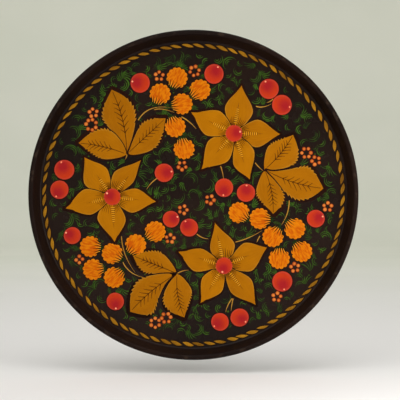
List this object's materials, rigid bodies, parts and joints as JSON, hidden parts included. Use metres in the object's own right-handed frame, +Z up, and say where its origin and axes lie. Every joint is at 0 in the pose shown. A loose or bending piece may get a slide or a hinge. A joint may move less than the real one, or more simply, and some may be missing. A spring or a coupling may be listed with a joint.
{
  "type": "painted tray",
  "caption": "Round black lacquered sheet-steel tray with a rolled rim, a painted flower and berry ornament inside a gold rope border, and a hanging loop on the back.",
  "frame": {"origin": "centre of the tray's flat back face, with the tray standing upright", "axes": "+Y is the tray's axis, out of the back; the painted face looks towards -Y; +Z is up, through the hanger; +X is to the right when the painted face is looked at"},
  "size_m": [0.3, 0.0198, 0.3],
  "materials": {
    "black_lacquer": "oil lacquer over a black ground, semi-gloss, with faint brush marks",
    "gold_paint": "ochre gold paint under clear lacquer",
    "red_paint": "red paint shading to crimson, under clear lacquer",
    "orange_paint": "orange paint with darker strokes, under clear lacquer",
    "green_paint": "thin dark green paint under clear lacquer",
    "brown_paint": "dark brown line paint under clear lacquer",
    "wire_steel": "plain drawn wire",
    "tinned_strap": "tinned sheet, slightly dull",
    "loop_wire": "bright drawn wire with fine scratches"
  },
  "bodies": {
    "tray": {"tray_pan": "black_lacquer", "rim_wire": "wire_steel", "hanger_strap": "tinned_strap"},
    "loop": {"hanger_loop": "loop_wire"}
  },
  "joints": [
    {"name": "loop_swing", "type": "hinge", "parent": "tray", "child": "loop", "pos_m": [0, 0.0019, 0.105], "axis": [1, 0, 0], "range_deg": [0, 180]}
  ]
}
